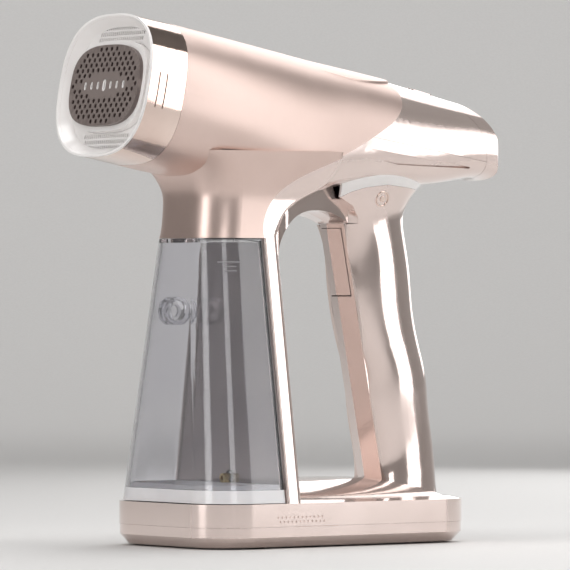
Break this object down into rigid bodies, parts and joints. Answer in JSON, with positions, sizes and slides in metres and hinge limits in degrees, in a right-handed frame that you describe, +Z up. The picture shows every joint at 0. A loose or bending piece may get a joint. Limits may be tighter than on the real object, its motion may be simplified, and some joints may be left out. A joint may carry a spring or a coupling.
{
  "type": "garment steamer",
  "caption": "Hand-held upright garment steamer with a tilted steam head, clear lift-out water tank, trigger handle and a flat standing base.",
  "frame": {"origin": "middle of the outline on the resting plane under the feet", "axes": "+Z up, -Y towards the steam face, +X to the right seen from the handle"},
  "size_m": [0.1012, 0.2374, 0.2659],
  "materials": {
    "band_metal": "polished, warm tint",
    "rim_white": "gloss",
    "plate": "satin taupe",
    "silicone": "translucent",
    "cast": "as cast",
    "steel": "plain",
    "dark_plastic": "moulded",
    "gloss_pearl": "gloss pearl",
    "rubber": "matte",
    "engineering": "moulded",
    "copper_coil": "varnished winding",
    "satin_shell": "satin pearl",
    "board": "solder mask",
    "wire": "sleeved",
    "tank_clear": "clear moulded plastic, cool tint",
    "tank_white": "translucent white",
    "brass": "turned"
  },
  "bodies": {
    "housing": {"head_band": "band_metal", "front_rim": "rim_white", "grille_ring": "rim_white", "plate_plinth": "rim_white", "steam_plate": "plate", "chamber_gasket": "silicone", "steam_chamber": "cast", "chamber_lid": "cast", "heating_element": "steel", "chamber_screws": "steel", "thermostat": "dark_plastic", "thermal_fuse": "steel", "base_housing": "gloss_pearl", "base_cover": "gloss_pearl", "rubber_feet": "rubber", "base_screws": "steel", "cord_gland": "dark_plastic", "terminal_block": "engineering", "pump_body": "engineering", "pump_coil": "copper_coil", "pump_spring": "steel", "suction_hose": "silicone", "pump_hose": "silicone", "barrel_shell": "satin_shell", "tail_cap": "gloss_pearl", "tail_cover": "gloss_pearl", "control_board": "board", "frame_right": "gloss_pearl", "frame_left": "gloss_pearl", "water_socket": "engineering", "window_liner": "gloss_pearl", "handle_panel_right": "gloss_pearl", "handle_panel_left": "gloss_pearl", "handle_collar": "rim_white", "handle_strip": "gloss_pearl", "trigger_pin": "steel", "trigger_spring": "steel", "microswitch": "dark_plastic", "handle_loom": "wire", "heater_loom": "wire"},
    "trigger": {"trigger": "gloss_pearl"},
    "switch_plunger": {"switch_plunger": "engineering"},
    "power_button": {"power_button": "gloss_pearl"},
    "pump_plunger": {"pump_plunger": "steel"},
    "tank": {"tank_body": "tank_clear", "tank_floor": "tank_white", "tank_valve": "brass", "spigot_seal": "rubber"},
    "fill_plug": {"fill_plug": "tank_clear"}
  },
  "joints": [
    {"name": "trigger_hinge", "type": "hinge", "parent": "housing", "child": "trigger", "pos_m": [0, 0.03342, 0.156], "axis": [1, 0, 0], "range_deg": [0, 8], "stiffness_Nm_per_rad": 0.3, "springref_deg": -17.19},
    {"name": "switch_plunger_slide", "type": "slide", "parent": "housing", "child": "switch_plunger", "axis": [0, 1, 0], "range_m": [0, 0.0031]},
    {"name": "power_button_slide", "type": "slide", "parent": "housing", "child": "power_button", "axis": [0, -0.1822, -0.9833], "range_m": [0, 0.0012], "stiffness_N_per_m": 500, "springref_m": -0.002},
    {"name": "pump_plunger_slide", "type": "slide", "parent": "housing", "child": "pump_plunger", "axis": [0, -1, 0], "range_m": [0, 0.002], "stiffness_N_per_m": 300, "springref_m": -0.002, "deforming": ["pump_spring"]},
    {"name": "tank_slide", "type": "slide", "parent": "housing", "child": "tank", "axis": [0, -1, 0], "range_m": [0, 0.09]},
    {"name": "fill_plug_slide", "type": "slide", "parent": "tank", "child": "fill_plug", "axis": [-1, 0, 0], "range_m": [0, 0.02]}
  ],
  "couplings": [
    {"joint": "switch_plunger_slide", "follows": "trigger_hinge", "m_per_rad": 0.021}
  ]
}
